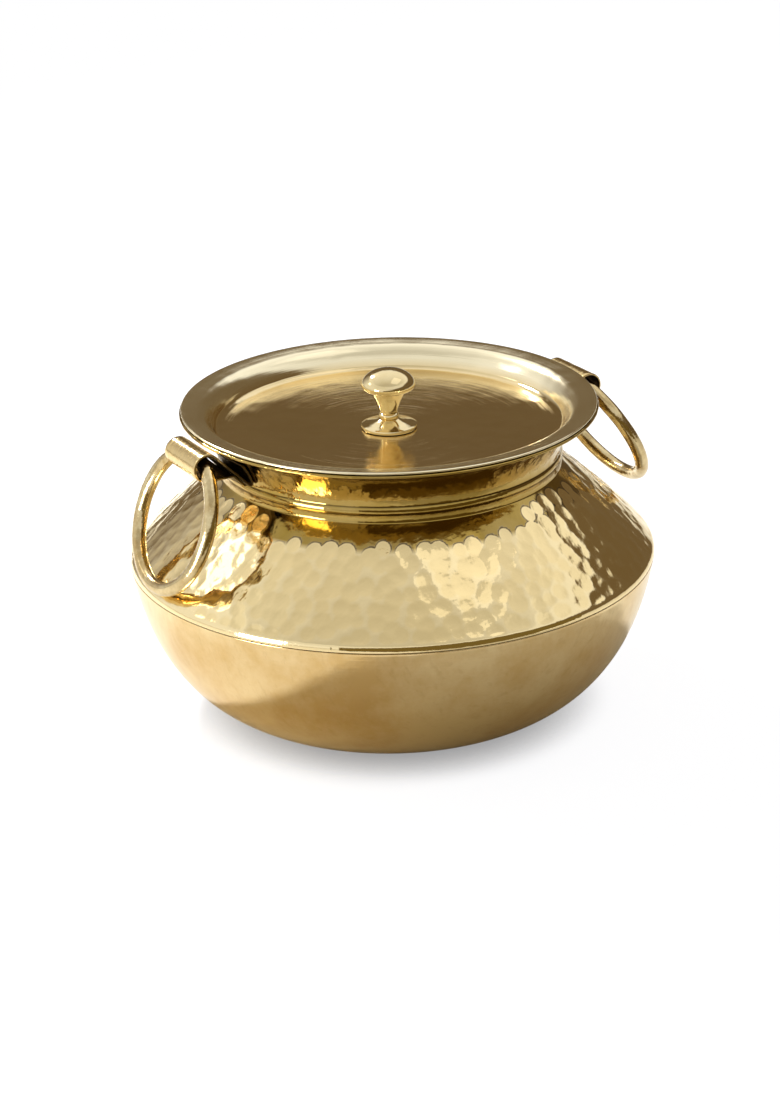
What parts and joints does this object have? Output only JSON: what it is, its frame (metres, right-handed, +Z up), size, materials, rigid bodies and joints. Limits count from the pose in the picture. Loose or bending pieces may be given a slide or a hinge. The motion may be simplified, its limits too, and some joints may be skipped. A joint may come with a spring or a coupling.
{
  "type": "brass cooking pot",
  "caption": "Round-bellied brass cooking pot with a hammered shoulder, a flared neck, a dished lid with a turned knob, and ring handles swinging in rolled straps.",
  "frame": {"origin": "middle of the flat foot, on the surface the pot stands on", "axes": "+Z up along the pot's axis; +X towards the right ring handle, -X towards the left one; +Y across"},
  "size_m": [0.2755, 0.26, 0.1725],
  "materials": {
    "satin_brass": "spun and buffed to a soft satin",
    "hammered_brass": "planished with a round hammer and polished",
    "lid_brass": "polished sheet with fine turning marks",
    "polished_brass": "mirror polished casting",
    "screw_brass": "plain turned",
    "strap_brass": "polished sheet, dull inside the roll",
    "ring_brass": "satin drawn rod"
  },
  "bodies": {
    "pot": {"lower_bowl": "satin_brass", "shoulder": "hammered_brass", "handle_strap_left": "strap_brass", "handle_strap_right": "strap_brass"},
    "lid": {"lid_plate": "lid_brass", "lid_knob": "polished_brass", "knob_washer": "screw_brass", "knob_screw": "screw_brass"},
    "ring_left": {"ring_handle_left": "ring_brass"},
    "ring_right": {"ring_handle_right": "ring_brass"}
  },
  "joints": [
    {"name": "lid_lift", "type": "slide", "parent": "pot", "child": "lid", "axis": [0, 0, 1], "range_m": [0, 0.12]},
    {"name": "ring_left_swing", "type": "hinge", "parent": "pot", "child": "ring_left", "pos_m": [-0.107, 0, 0.1473], "axis": [0, 1, 0], "range_deg": [0, 158.5]},
    {"name": "ring_right_swing", "type": "hinge", "parent": "pot", "child": "ring_right", "pos_m": [0.107, 0, 0.1473], "axis": [0, -1, 0], "range_deg": [-8.5, 150]}
  ]
}
